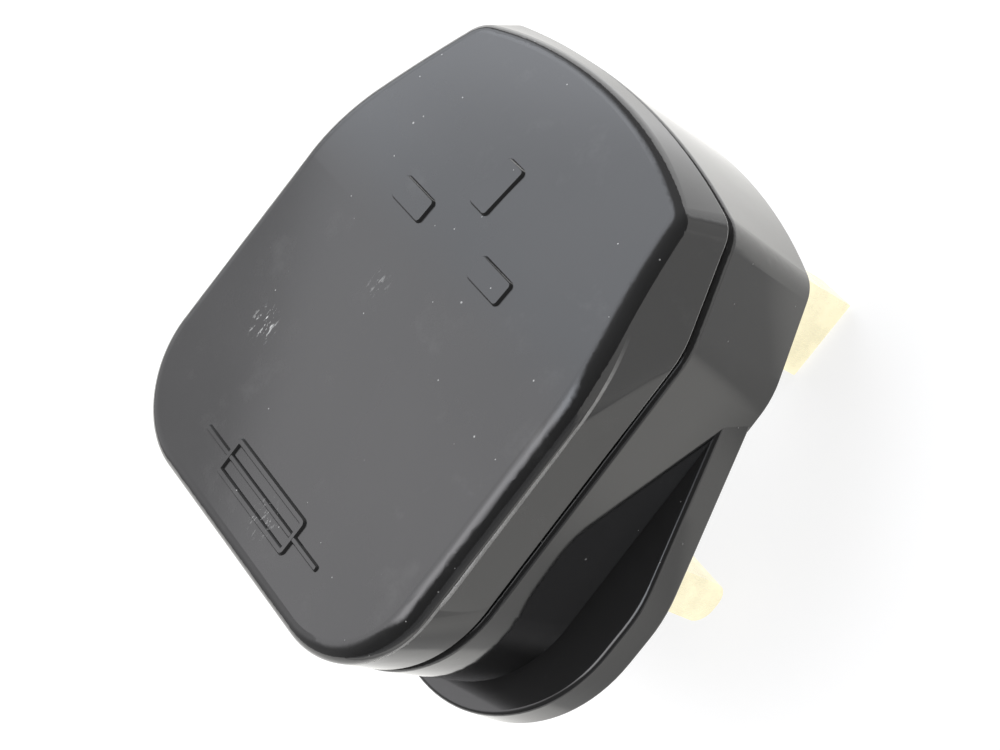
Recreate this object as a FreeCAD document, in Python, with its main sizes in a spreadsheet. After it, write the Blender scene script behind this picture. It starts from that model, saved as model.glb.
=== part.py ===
import FreeCAD, Part
import math
import os
import Sketcher

# Rewirable three pin plug with a 13 A cartridge fuse, in millimetres.
# The origin is on the pin face, midway between the line and neutral pins.
# +Y points to the earth pin and +Z to the back of the cover; the pins point to -Z.

SIZES = {
    # pins
    "pin_pitch": 22.23,
    "earth_offset": 22.23,
    "ln_width": 6.35,
    "ln_thick": 3.97,
    "ln_length": 17.7,
    "ln_nose_round": 1.7,
    "earth_width": 3.97,
    "earth_depth": 7.92,
    "earth_length": 22.73,
    "earth_nose_round": 0.8,
    "sleeve_length": 9.5,
    "sleeve_wall": 0.6,
    "pin_clear": 0.05,
    # base outline at the seam
    "bottom_half": 20.8,
    "side_taper": 0.85,
    "top_half": 16.1,
    "bottom_drop": 17.2,
    "bend_height": 19.8,
    "shoulder_rise": 9.2,
    "top_rise": 2.3,
    "bottom_round": 12.0,
    "bend_round": 8.0,
    "top_round": 3.0,
    # base
    "base_depth": 13.2,
    "floor_thick": 3.2,
    "side_wall": 2.9,
    "draft_side": 1.4,
    "draft_bottom": 1.1,
    "draft_shoulder": 1.0,
    "draft_top": 0.35,
    "flange_out": 3.25,
    "flange_bend": 1.2,
    "flange_thick": 3.45,
    "flange_corner": 0.85,
    "flange_inset": 2.4,
    "flange_foot": 0.8,
    "flange_bend_round": 12.0,
    "flange_round": 13.5,
    "lip_round": 0.4,
    "seam_round": 0.55,
    "edge_round": 0.12,
    "rib_wall": 1.2,
    "earth_rib_top": 10.0,
    "neutral_rib_top": 8.0,
    # cover
    "seam_gap": 0.5,
    "rim_inset": 1.0,
    "cover_rise": 6.9,
    "face_inset": 0.4,
    "face_drop_inset": 0.6,
    "face_bend_inset": 0.65,
    "face_bend_drop": 6.9,
    "face_corner_inset": 1.5,
    "face_shoulder_drop": 2.4,
    "face_top_rise": 3.6,
    "face_round": 8.5,
    "face_bend_round": 26.0,
    "face_edge_round": 1.5,
    "crown_start": 10.5,
    "crown_radius": 62.0,
    "ledge_drop": 1.7,
    "ledge_inset": 0.03,
    "ledge_end_inset": 0.6,
    "ledge_bend_drop": 5.85,
    "ledge_bend_inset": 0.72,
    "ledge_corner_inset": 1.4,
    "ledge_shoulder_drop": 2.4,
    "ledge_round": 0.15,
    "cover_thick": 2.8,
    "hold_rib_gap": 0.4,
    # cover screw
    "screw_height": 9.8,
    "screw_size": 4.0,
    "screw_head_size": 7.0,
    "screw_head_tall": 2.0,
    "screw_recess": 2.6,
    "screw_over": 0.5,
    "screw_clear": 0.25,
    "boss_size": 12.0,
    "nut_size": 7.0,
    "nut_thick": 3.0,
    "nut_clear": 0.1,
    "washer_size": 8.0,
    "washer_thick": 1.0,
    "washer_clear": 0.2,
    "slot_wide": 1.2,
    "slot_deep": 0.9,
    # terminals
    "earth_head": 9.4,
    "neutral_head_wide": 8.4,
    "neutral_head_long": 9.0,
    "head_tall": 7.5,
    "wire_bore": 3.4,
    "wire_height": 3.2,
    "clamp_size": 3.0,
    "clamp_head_size": 4.8,
    "clamp_head_tall": 1.8,
    "thread_clear": 0.05,
    # fuse and its clips
    "fuse_height": 7.5,
    "fuse_length": 25.4,
    "fuse_size": 6.35,
    "cap_length": 5.6,
    "cap_wall": 0.25,
    "cap_end": 0.6,
    "tube_bore": 3.6,
    "wire_size": 0.4,
    "fuse_lift": 0.5,
    "clip_thick": 0.5,
    "clip_wide": 5.4,
    "clip_clear": 0.03,
    "clip_lip": 0.6,
    "clip_rise": 2.7,
    "tab_length": 4.0,
    "foot_tall": 3.0,
    "foot_margin": 0.4,
    "rivet_size": 2.0,
    "rivet_head_size": 3.4,
    "rivet_head_tall": 0.4,
    "terminal_long": 4.8,
    "terminal_wide": 5.8,
    # cord entry and cord grip
    "entry_height": 8.4,
    "entry_size": 8.4,
    "tongue_half": 5.6,
    "tongue_clear": 0.1,
    "tongue_inset": 0.6,
    "grip_back": 6.8,
    "grip_spread": 9.0,
    "grip_end": 3.4,
    "grip_wide": 6.4,
    "grip_thick": 2.4,
    "post_size": 6.6,
    "post_top": 8.6,
    "saddle_tall": 1.0,
    "grip_screw_size": 3.0,
    "grip_screw_length": 5.6,
    "grip_head_size": 5.4,
    "grip_head_tall": 2.0,
}

doc = FreeCAD.newDocument("three_pin_plug")
sheet = doc.addObject("Spreadsheet::Sheet", "Sizes")
for row, (alias, number) in enumerate(SIZES.items(), start=1):
    sheet.set("A%d" % row, alias.replace("_", " "))
    sheet.set("B%d" % row, str(number))
    sheet.setAlias("B%d" % row, alias)
doc.recompute()


class Size:
    """A length with its number and the sheet expression that gives it."""

    def __init__(self, text, number):
        self.text = text
        self.number = float(number)

    def __add__(self, other):
        other = size(other)
        return Size("(%s + %s)" % (self.text, other.text), self.number + other.number)

    def __sub__(self, other):
        other = size(other)
        return Size("(%s - %s)" % (self.text, other.text), self.number - other.number)

    def __mul__(self, other):
        other = size(other)
        return Size("(%s * %s)" % (self.text, other.text), self.number * other.number)

    def __truediv__(self, other):
        other = size(other)
        return Size("(%s / %s)" % (self.text, other.text), self.number / other.number)

    def __radd__(self, other):
        return size(other) + self

    def __rsub__(self, other):
        return size(other) - self

    def __rmul__(self, other):
        return size(other) * self

    def __neg__(self):
        return Size("(0 - %s)" % self.text, -self.number)


def root(value):
    return Size("sqrt(%s)" % value.text, math.sqrt(value.number))


def size(value):
    if isinstance(value, Size):
        return value
    return Size(repr(float(value)), value)


class Named:
    """The sheet's named sizes as attributes."""


n = Named()
for alias in SIZES:
    setattr(n, alias, Size("Sizes." + alias, sheet.get(alias)))


def bind(obj, prop, value):
    value = size(value)
    obj.setExpression(prop, value.text)


def place(obj, x, y, z):
    bind(obj, "Placement.Base.x", x)
    bind(obj, "Placement.Base.y", y)
    bind(obj, "Placement.Base.z", z)


def block(name, x0, x1, y0, y1, z0, z1):
    """A box between two corners."""
    b = doc.addObject("Part::Box", name)
    bind(b, "Length", size(x1) - x0)
    bind(b, "Width", size(y1) - y0)
    bind(b, "Height", size(z1) - z0)
    place(b, x0, y0, z0)
    return b


def rod(name, diameter, x, y, z, length, axis="Z"):
    """A cylinder that starts at a point and runs along an axis."""
    c = doc.addObject("Part::Cylinder", name)
    bind(c, "Radius", size(diameter) / 2)
    bind(c, "Height", length)
    if axis == "Y":
        c.Placement.Rotation = FreeCAD.Rotation(FreeCAD.Vector(1, 0, 0), -90)
    elif axis == "X":
        c.Placement.Rotation = FreeCAD.Rotation(FreeCAD.Vector(0, 1, 0), 90)
    place(c, x, y, z)
    return c


def outline(name, corners, arcs=None, z=0, turn=None):
    """A closed sketch through the corners; arcs gives the radius of an edge by its number."""
    arcs = arcs or {}
    sk = doc.addObject("Sketcher::SketchObject", name)
    count = len(corners)
    pts = [FreeCAD.Vector(size(x).number, size(y).number, 0) for x, y in corners]
    for i in range(count):
        a, b = pts[i], pts[(i + 1) % count]
        if i in arcs:
            r = size(arcs[i]).number
            chord = b - a
            side = FreeCAD.Vector(-chord.y, chord.x, 0)
            side.normalize()
            mid = (a + b) * 0.5 + side * math.sqrt(r * r - chord.Length ** 2 / 4)
            start = math.atan2(a.y - mid.y, a.x - mid.x)
            end = math.atan2(b.y - mid.y, b.x - mid.x)
            if end < start:
                end += 2 * math.pi
            sk.addGeometry(Part.ArcOfCircle(Part.Circle(mid, FreeCAD.Vector(0, 0, 1), r), start, end))
        else:
            sk.addGeometry(Part.LineSegment(a, b))
    for i in range(count):
        sk.addConstraint(Sketcher.Constraint("Coincident", i, 2, (i + 1) % count, 1))
    for i, corner in enumerate(corners):
        for kind, axis, value in (("DistanceX", -2, size(corner[0])), ("DistanceY", -1, size(corner[1]))):
            if abs(value.number) < 1e-9:
                sk.addConstraint(Sketcher.Constraint("PointOnObject", i, 1, axis))
            elif value.number > 0:
                c = sk.addConstraint(Sketcher.Constraint(kind, -1, 1, i, 1, value.number))
                sk.setExpression("Constraints[%d]" % c, value.text)
            else:
                c = sk.addConstraint(Sketcher.Constraint(kind, i, 1, -1, 1, -value.number))
                sk.setExpression("Constraints[%d]" % c, (-value).text)
    for i, radius in arcs.items():
        c = sk.addConstraint(Sketcher.Constraint("Radius", i, size(radius).number))
        sk.setExpression("Constraints[%d]" % c, size(radius).text)
    if turn is not None:
        sk.Placement.Rotation = turn
    if turn is None:
        bind(sk, "Placement.Base.z", z)
    return sk


def plan(name, low, mid, top, drop, bend, shoulder, peak, z):
    """The plug's symmetric plan outline: straight sides, tapered shoulders and a bowed top edge."""
    low, mid, top, drop = size(low), size(mid), size(top), size(drop)
    rise = size(peak) - shoulder
    radius = (rise * rise + top * top) / (2 * rise)
    corners = [(low, -drop), (mid, bend), (top, shoulder), (-top, shoulder), (-mid, bend), (-low, -drop)]
    return outline(name, corners, {2: radius}, z)


def soft_plan(name, low, mid, top, drop, bend, shoulder, peak, z, low_radius, bend_radius):
    """The plan outline with its lower corners and its bends drawn as arcs that are tangent to the sides."""
    low, mid, top, drop, bend, shoulder = [size(v) for v in (low, mid, top, drop, bend, shoulder)]
    rise = size(peak) - shoulder
    bow = (rise * rise + top * top) / (2 * rise)
    ax, ay, bx, by = mid - low, bend + drop, top - mid, shoulder - bend
    la, lb = root(ax * ax + ay * ay), root(bx * bx + by * by)
    reach = bend_radius * (ax * by - ay * bx) / (la * lb + ax * bx + ay * by)
    turn_in = low_radius * ay / (la + ax)
    x0, y0 = low + ax * turn_in / la, ay * turn_in / la - drop
    x1, y1 = mid - ax * reach / la, bend - ay * reach / la
    x2, y2 = mid + bx * reach / lb, bend + by * reach / lb
    corners = [(low - turn_in, -drop), (x0, y0), (x1, y1), (x2, y2), (top, shoulder),
               (-top, shoulder), (-x2, y2), (-x1, y1), (-x0, y0), (turn_in - low, -drop)]
    return outline(name, corners, {0: low_radius, 2: bend_radius, 4: bow, 6: bend_radius, 8: low_radius}, z)


def prism(name, sketch, length):
    """A sketch pulled straight out along its normal."""
    e = doc.addObject("Part::Extrusion", name)
    e.Base = sketch
    e.DirMode = "Normal"
    e.Solid = True
    bind(e, "LengthFwd", length)
    return e


def fuse(name, *shapes):
    f = doc.addObject("Part::MultiFuse", name)
    f.Shapes = list(shapes)
    f.Refine = True
    return f


def cut(name, base, *tools):
    tool = tools[0] if len(tools) == 1 else fuse(name + "_tools", *tools)
    c = doc.addObject("Part::Cut", name)
    c.Base = base
    c.Tool = tool
    c.Refine = True
    return c


def rounded(name, base, picks):
    """The base with the edges that each test picks rounded to that test's radius."""
    doc.recompute()
    edges = []
    for i, edge in enumerate(base.Shape.Edges, start=1):
        for test, radius in picks:
            if test(edge):
                edges.append((i, size(radius).number, size(radius).number))
                break
    f = doc.addObject("Part::Fillet", name)
    f.Base = base
    f.Edges = edges
    return f


def upright(edge, x, y):
    """True for a rising edge with an end over or under the corner (x, y) or its mirror image."""
    ends = edge.Vertexes
    if len(ends) != 2 or abs(ends[0].Z - ends[1].Z) < 0.5:
        return False
    return any(abs(abs(v.X) - size(x).number) < 1e-3 and abs(v.Y - size(y).number) < 1e-3 for v in ends)


def level(edge, z):
    """True for an edge that lies in the plane at height z."""
    box = edge.BoundBox
    return abs(box.ZMin - size(z).number) < 1e-3 and abs(box.ZMax - size(z).number) < 1e-3


def corners_rounded(name, base, spots):
    """The base with its rising corner edges rounded; spots lists (x, y, radius)."""
    return rounded(name, base, [
        (lambda e, x=x, y=y: upright(e, x, y), r) for x, y, r in spots
    ])


def twin(name, *shapes):
    """Identical pieces kept as separate solids of one node."""
    c = doc.addObject("Part::Compound", name)
    c.Links = list(shapes)
    return c


# heights that several pieces share
floor = n.floor_thick
seam = n.base_depth
cover_edge = seam + n.seam_gap
face_height = seam + n.cover_rise
ledge_height = face_height - n.ledge_drop
ceiling = face_height - n.cover_thick
grip_drop = n.bottom_drop - n.grip_back
bend_half = n.bottom_half - n.side_taper
shoulder_height = n.bend_height + n.shoulder_rise
top_height = shoulder_height + n.top_rise
flange_half = n.bottom_half + n.flange_out
line_x = n.pin_pitch / 2
neutral_x = -line_x
earth_y = n.earth_offset
foot_top = floor + n.foot_tall
fuse_axis = foot_top + n.clip_thick + n.fuse_lift + n.fuse_size / 2
clip_reach = (n.fuse_length - n.cap_length) / 2
lower_clip_y = n.fuse_height - clip_reach
upper_clip_y = n.fuse_height + clip_reach

# inner outline shared by base and cover
inner_low = n.bottom_half - n.side_wall
inner_mid = bend_half - n.side_wall
inner_top = n.top_half - n.side_wall
inner_drop = n.bottom_drop - n.side_wall
inner_bend = n.bend_height - n.side_wall / 5
inner_shoulder = shoulder_height - n.side_wall
inner_peak = top_height - n.side_wall


def cavity(name, z0, z1):
    sk = plan(name + "_outline", inner_low, inner_mid, inner_top, inner_drop, inner_bend,
              inner_shoulder, inner_peak, z0)
    body = prism(name + "_prism", sk, size(z1) - z0)
    return corners_rounded(name, body, [
        (inner_low, -inner_drop, n.bottom_round - n.side_wall),
        (inner_mid, inner_bend, n.bend_round - n.side_wall),
        (inner_top, inner_shoulder, n.top_round / 2),
    ])


def cord_bore(name):
    return rod(name, n.entry_size, 0, -n.bottom_drop - 2, n.entry_height, n.side_wall + 2.5, "Y")


# base: leaning walls lofted from the pin face up to the seam
foot_sketch = plan("foot_outline", n.bottom_half - n.draft_side, bend_half - n.draft_side,
                   n.top_half - n.draft_side, n.bottom_drop - n.draft_bottom, n.bend_height - n.draft_top,
                   shoulder_height - n.draft_shoulder, top_height - n.draft_top, 0)
seam_sketch = plan("seam_outline", n.bottom_half, bend_half, n.top_half, n.bottom_drop, n.bend_height,
                   shoulder_height, top_height, seam)
walls = doc.addObject("Part::Loft", "base_walls")
walls.Sections = [foot_sketch, seam_sketch]
walls.Solid = True
walls.Ruled = True
walls_round = corners_rounded("base_walls_round", walls, [
    (n.bottom_half, -n.bottom_drop, n.bottom_round),
    (bend_half, n.bend_height, n.bend_round),
    (n.top_half, shoulder_height, n.top_round),
])
walls_soft = rounded("base_walls_soft", walls_round, [(lambda e: level(e, seam), n.seam_round)])

# flange that keeps fingers away from the line and neutral pins
flange_top = n.top_half - n.draft_side + n.flange_corner
flange_shoulder = shoulder_height - n.draft_shoulder - n.flange_inset
flange_peak = top_height - n.draft_top - n.flange_inset
flange_drop = n.bottom_drop - n.draft_bottom + n.flange_foot
flange_sketch = plan("flange_outline", flange_half, flange_half, flange_top, flange_drop,
                     n.flange_bend, flange_shoulder, flange_peak, 0)
flange = prism("flange_prism", flange_sketch, n.flange_thick)
flange_round = corners_rounded("flange_round", flange, [
    (flange_half, -flange_drop, n.flange_round),
    (flange_half, n.flange_bend, n.flange_bend_round),
])
flange_soft = rounded("flange_soft", flange_round, [
    (lambda e: level(e, n.flange_thick), n.lip_round),
    (lambda e: level(e, 0), n.lip_round),
])

base_hollow = cut("base_hollow", fuse("base_outer", walls_soft, flange_soft), cavity("base_cavity", floor, seam + 1))

# features that stand on the floor of the base
sunk = floor - 0.5
boss = rod("base_boss", n.boss_size, 0, n.screw_height, sunk, seam - sunk)
posts = [
    rod("post_%s" % side, n.post_size, sign * n.grip_spread, -grip_drop, sunk, n.post_top - sunk)
    for side, sign in (("left", -1), ("right", 1))
]
saddle = block("saddle", -n.tongue_half, n.tongue_half, -grip_drop - n.rib_wall, -grip_drop + n.rib_wall,
               sunk, floor + n.saddle_tall)
rib_start = n.earth_head / 2 + n.foot_margin
earth_ribs = [
    block("earth_rib_left", -rib_start - n.rib_wall, -rib_start, earth_y - n.earth_head / 2,
          earth_y + n.earth_head / 2, sunk, n.earth_rib_top),
    block("earth_rib_right", rib_start, rib_start + n.rib_wall, earth_y - n.earth_head / 2,
          earth_y + n.earth_head / 2, sunk, n.earth_rib_top),
]
neutral_edge = n.neutral_head_long / 2 + n.foot_margin
neutral_rib = block("neutral_rib", -inner_mid - 0.5, neutral_x + n.neutral_head_wide / 2,
                    neutral_edge, neutral_edge + n.rib_wall, sunk, n.neutral_rib_top)
base_full = fuse("base_full", base_hollow, boss, saddle, neutral_rib, *(posts + earth_ribs))

through = floor + 2
base_cuts = [
    block("line_slot", line_x - n.ln_width / 2 - n.pin_clear, line_x + n.ln_width / 2 + n.pin_clear,
          -n.ln_thick / 2 - n.pin_clear, n.ln_thick / 2 + n.pin_clear, -1, through),
    block("neutral_slot", neutral_x - n.ln_width / 2 - n.pin_clear, neutral_x + n.ln_width / 2 + n.pin_clear,
          -n.ln_thick / 2 - n.pin_clear, n.ln_thick / 2 + n.pin_clear, -1, through),
    block("earth_slot", -n.earth_width / 2 - n.pin_clear, n.earth_width / 2 + n.pin_clear,
          earth_y - n.earth_depth / 2 - n.pin_clear, earth_y + n.earth_depth / 2 + n.pin_clear, -1, through),
    rod("base_screw_hole", n.screw_size + 2 * n.screw_clear, 0, n.screw_height, -1, seam + 2),
    rod("screw_head_recess", n.screw_head_size + 2 * n.screw_clear, 0, n.screw_height, -1, n.screw_recess + 1),
    rod("washer_recess", n.washer_size + 2 * n.washer_clear, 0, n.screw_height,
        seam - n.washer_thick - n.washer_clear, n.washer_thick + 2),
    block("tongue_notch", -n.tongue_half - n.tongue_clear, n.tongue_half + n.tongue_clear,
          -n.bottom_drop - 1, -inner_drop + 0.4, n.entry_height, seam + 1),
    cord_bore("base_cord_bore"),
]
for side, sign in (("left", -1), ("right", 1)):
    base_cuts.append(rod("post_hole_%s" % side, n.grip_screw_size + 2 * n.thread_clear, sign * n.grip_spread,
                         -grip_drop, n.post_top - n.grip_screw_length - 0.3, n.grip_screw_length + 1))
base = cut("base", base_full, *base_cuts)

# face outline at its full height, inset from the seam's outline
face_half = n.bottom_half - n.face_inset
face_drop = n.bottom_drop - n.face_drop_inset
face_bend = n.bend_height - n.face_bend_drop
face_corner = n.top_half - n.face_corner_inset
face_shoulder = shoulder_height - n.face_shoulder_drop
face_top = face_shoulder + n.face_top_rise

# side view of the face: flat over the pins, then bowed down towards the earth end
crown_run = top_height + 1 - n.crown_start
crown_fall = crown_run * crown_run / (2 * n.crown_radius)
crown_arc = (crown_run * crown_run + crown_fall * crown_fall) / (2 * crown_fall)


def under_crown(name, shape, drop):
    """What of a shape lies under the face's side profile, lowered by drop."""
    top = face_height - drop
    low, far, near = n.entry_height, top_height + 1, -n.bottom_drop - 1
    sk = outline(name + "_profile", [
        (near, low),
        (far, low),
        (far, top - crown_fall),
        (n.crown_start, top),
        (near, top),
    ], {2: crown_arc}, turn=FreeCAD.Rotation(FreeCAD.Vector(1, 1, 1), 120))
    bind(sk, "Placement.Base.x", -n.bottom_half - 2)
    c = doc.addObject("Part::Common", name)
    c.Base = shape
    c.Tool = prism(name + "_prism", sk, 2 * n.bottom_half + 4)
    return c


# cover shell: walls lofted from the seam to the face, leaning in most at the shoulders and the earth end
wall_sketch = soft_plan("wall_outline", n.bottom_half, bend_half, n.top_half, n.bottom_drop, n.bend_height,
                        shoulder_height, top_height, cover_edge, n.bottom_round, n.bend_round)
face_sketch = soft_plan("face_outline", face_half, n.bottom_half - n.face_bend_inset, face_corner, face_drop,
                        face_bend, face_shoulder, face_top, face_height, n.face_round, n.face_bend_round)
shell = doc.addObject("Part::Loft", "cover_shell")
shell.Sections = [wall_sketch, face_sketch]
shell.Solid = True
shell.Ruled = True
shell_round = corners_rounded("cover_shell_round", shell, [(n.top_half, shoulder_height, n.top_round)])
shell_crowned = under_crown("cover_shell_crowned", shell_round, 0)
doc.recompute()


def on_top(edge):
    """True for the outer edge of the crowned face, but not for the line where its crown starts."""
    box = edge.BoundBox
    if box.ZMin < cover_edge.number + 1 or len(edge.Vertexes) != 2:
        return False
    return not (box.XLength > face_half.number and box.YLength < 1e-3 and abs(box.YMin - n.crown_start.number) < 1e-3)


shell_soft = rounded("cover_shell_soft", shell_crowned, [
    (on_top, n.face_edge_round),
    (lambda e: level(e, cover_edge), n.edge_round),
])

# grip ledge along the sides and the cord end, which fades into the shoulders
ledge_low = n.bottom_half - n.ledge_inset
ledge_bend = n.bend_height - n.ledge_bend_drop
ledge_shoulder = shoulder_height - n.ledge_shoulder_drop
ledge_corner = n.top_half - n.ledge_corner_inset
ledge_drop_y = n.bottom_drop - n.ledge_end_inset
ledge_start = cover_edge + n.edge_round + n.ledge_inset
ledge_sketch = soft_plan("ledge_outline", ledge_low, n.bottom_half - n.ledge_bend_inset, ledge_corner,
                         ledge_drop_y, ledge_bend, ledge_shoulder, ledge_shoulder + n.top_rise, ledge_start,
                         n.bottom_round, n.face_bend_round)
ledge_block = corners_rounded("ledge_block", prism("ledge_prism", ledge_sketch, ledge_height - ledge_start), [
    (ledge_corner, ledge_shoulder, n.top_round),
])
ledge_soft = rounded("ledge_soft", ledge_block, [(lambda e: level(e, ledge_height), n.ledge_round)])
ledge = under_crown("ledge", ledge_soft, n.face_edge_round + 0.1)

# rim of the cover that sits on the base inside the seam's groove
rim_sketch = plan("rim_outline", n.bottom_half - n.rim_inset, bend_half - n.rim_inset,
                  n.top_half - n.rim_inset, n.bottom_drop - n.rim_inset, n.bend_height - n.rim_inset / 5,
                  shoulder_height - n.rim_inset, top_height - n.rim_inset, seam)
rim = corners_rounded("cover_rim", prism("cover_rim_prism", rim_sketch, n.seam_gap + 1), [
    (n.bottom_half - n.rim_inset, n.rim_inset - n.bottom_drop, n.bottom_round - n.rim_inset),
    (bend_half - n.rim_inset, n.bend_height - n.rim_inset / 5, n.bend_round - n.rim_inset),
    (n.top_half - n.rim_inset, shoulder_height - n.rim_inset, n.top_round - n.rim_inset),
])

cover_outer = fuse("cover_outer", shell_soft, ledge, rim)
cover_space = under_crown("cover_space", cavity("cover_cavity", seam - 1, face_height), n.cover_thick)
cover_hollow = cut("cover_hollow", cover_outer, cover_space)

cover_boss = rod("cover_boss", n.boss_size, 0, n.screw_height, seam, ceiling + 0.5 - seam)
tongue = block("tongue", -n.tongue_half, n.tongue_half, -n.bottom_drop + n.tongue_inset, -inner_drop,
               n.entry_height, seam + 1)
fuse_top = fuse_axis + n.fuse_size / 2
hold_ribs = [
    block("hold_rib_%s" % tag, line_x - n.fuse_size / 2, line_x + n.fuse_size / 2, y, y + n.rib_wall,
          fuse_top + n.hold_rib_gap, ceiling + 0.5)
    for tag, y in (("lower", n.fuse_height - n.cap_length), ("upper", n.fuse_height + n.cap_length - n.rib_wall))
]
cover_full = fuse("cover_full", cover_hollow, cover_boss, tongue, *hold_ribs)
nut_half = n.nut_size / 2 + n.nut_clear
cover = cut("cover", cover_full,
            block("nut_pocket", -nut_half, nut_half, n.screw_height - nut_half, n.screw_height + nut_half,
                  seam - 1, seam + n.nut_thick),
            rod("cover_screw_hole", n.screw_size + 2 * n.screw_clear, 0, n.screw_height, seam,
                n.nut_thick + n.screw_over + 0.3),
            cord_bore("cover_cord_bore"))

# cover screw, its captive washer and its nut
screw_end = seam + n.nut_thick + n.screw_over
head_low = n.screw_recess - n.screw_head_tall
cover_screw = cut("cover_screw", fuse(
    "cover_screw_body",
    rod("cover_screw_head", n.screw_head_size, 0, n.screw_height, head_low, n.screw_head_tall),
    rod("cover_screw_shank", n.screw_size, 0, n.screw_height, head_low, screw_end - head_low)),
    block("cover_screw_slot", -n.screw_head_size, n.screw_head_size, n.screw_height - n.slot_wide / 2,
          n.screw_height + n.slot_wide / 2, head_low - 1, head_low + n.slot_deep))
washer_low = seam - n.washer_thick - n.washer_clear
washer = cut("screw_retaining_washer",
             rod("washer_disc", n.washer_size, 0, n.screw_height, washer_low, n.washer_thick),
             rod("washer_hole", n.screw_size + 2 * n.thread_clear, 0, n.screw_height, washer_low - 1,
                 n.washer_thick + 2))
nut = cut("cover_nut",
          block("nut_block", -n.nut_size / 2, n.nut_size / 2, n.screw_height - n.nut_size / 2,
                n.screw_height + n.nut_size / 2, seam + n.nut_clear, seam + n.nut_thick),
          rod("nut_hole", n.screw_size + 2 * n.thread_clear, 0, n.screw_height, seam, n.nut_thick + 1))


def nose(edge, z, along):
    """True for a pin tip's edge that runs along the X or Y axis."""
    if not level(edge, z):
        return False
    box = edge.BoundBox
    return (box.XLength > box.YLength) == (along == "X")


def sleeved_blade(name, x):
    """Blade of a line or neutral pin: full section at the tip, slimmer inside its sleeve."""
    tip = block(name + "_tip", x - n.ln_width / 2, x + n.ln_width / 2, -n.ln_thick / 2, n.ln_thick / 2,
                -n.ln_length, -n.sleeve_length)
    tip_round = rounded(name + "_tip_round", tip,
                        [(lambda e: nose(e, -n.ln_length, "X"), n.ln_nose_round)])
    half_w = n.ln_width / 2 - n.sleeve_wall
    half_t = n.ln_thick / 2 - n.sleeve_wall
    neck = block(name + "_neck", x - half_w, x + half_w, -half_t, half_t, -n.sleeve_length, floor)
    return tip_round, neck


def clamp_hole(name, x, y, top):
    return rod(name, n.clamp_size + 2 * n.thread_clear, x, y, floor + n.wire_height, top - floor)


# pins with their heads on the floor of the base
neutral_head = block("neutral_head", neutral_x - n.neutral_head_wide / 2, neutral_x + n.neutral_head_wide / 2,
                     -n.neutral_head_long / 2, n.neutral_head_long / 2, floor, floor + n.head_tall)
neutral_pin = cut("neutral_pin",
                  fuse("neutral_pin_body", neutral_head, *sleeved_blade("neutral_blade", neutral_x)),
                  rod("neutral_wire_hole", n.wire_bore, neutral_x, -n.neutral_head_long, floor + n.wire_height,
                      2 * n.neutral_head_long, "Y"),
                  clamp_hole("neutral_clamp_hole", neutral_x, 0, floor + n.head_tall))

earth_tip = block("earth_blade", -n.earth_width / 2, n.earth_width / 2, earth_y - n.earth_depth / 2,
                  earth_y + n.earth_depth / 2, -n.earth_length, floor)
earth_tip_round = rounded("earth_blade_round", earth_tip,
                          [(lambda e: level(e, -n.earth_length), n.earth_nose_round)])
earth_head = block("earth_head_block", -n.earth_head / 2, n.earth_head / 2, earth_y - n.earth_head / 2,
                   earth_y + n.earth_head / 2, floor, floor + n.head_tall)
earth_pin = cut("earth_pin", fuse("earth_pin_body", earth_head, earth_tip_round),
                rod("earth_wire_hole", n.wire_bore, 0, earth_y - n.earth_head, floor + n.wire_height,
                    2 * n.earth_head, "Y"),
                clamp_hole("earth_clamp_hole", 0, earth_y, floor + n.head_tall))

foot_half = n.fuse_size / 2 + n.clip_clear + n.clip_thick + n.foot_margin
clip_half = n.clip_wide / 2
lower_rivet_y = lower_clip_y + clip_half + n.tab_length / 2
upper_rivet_y = upper_clip_y - clip_half - n.tab_length / 2
line_foot = block("line_foot", line_x - foot_half, line_x + foot_half, lower_clip_y - clip_half - n.foot_margin,
                  lower_clip_y + clip_half + n.tab_length + n.foot_margin, floor, foot_top)
line_pin = cut("line_pin", fuse("line_pin_body", line_foot, *sleeved_blade("line_blade", line_x)),
               rod("line_rivet_hole", n.rivet_size + 2 * n.thread_clear, line_x, lower_rivet_y, floor - 1,
                   n.foot_tall + 2))


def sleeve(name, x):
    half_w, half_t = n.ln_width / 2, n.ln_thick / 2
    outer = block(name + "_outer", x - half_w, x + half_w, -half_t, half_t, -n.sleeve_length, floor)
    core = block(name + "_core", x - half_w + n.sleeve_wall, x + half_w - n.sleeve_wall,
                 -half_t + n.sleeve_wall, half_t - n.sleeve_wall, -n.sleeve_length - 1, floor + 1)
    return cut(name, outer, core)


line_sleeve = sleeve("line_sleeve", line_x)
neutral_sleeve = sleeve("neutral_sleeve", neutral_x)

# line terminal: a foot under the upper clip and a clamp block past the fuse's end
terminal_low = n.fuse_height + n.fuse_length / 2 + n.foot_margin
terminal_x = line_x - foot_half + n.terminal_wide / 2
terminal_y = terminal_low + n.terminal_long / 2
line_terminal = cut("line_terminal", fuse(
    "line_terminal_body",
    block("terminal_foot", line_x - foot_half, line_x + foot_half,
          upper_clip_y - clip_half - n.tab_length - n.foot_margin, terminal_low, floor, foot_top),
    block("terminal_block", terminal_x - n.terminal_wide / 2, terminal_x + n.terminal_wide / 2, terminal_low,
          terminal_low + n.terminal_long, floor, floor + n.head_tall)),
    rod("terminal_wire_hole", n.wire_bore, terminal_x - n.terminal_wide, terminal_y, floor + n.wire_height,
        2 * n.terminal_wide, "X"),
    clamp_hole("terminal_clamp_hole", terminal_x, terminal_y, floor + n.head_tall),
    rod("terminal_rivet_hole", n.rivet_size + 2 * n.thread_clear, line_x, upper_rivet_y, floor - 1,
        n.foot_tall + 2))


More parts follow.
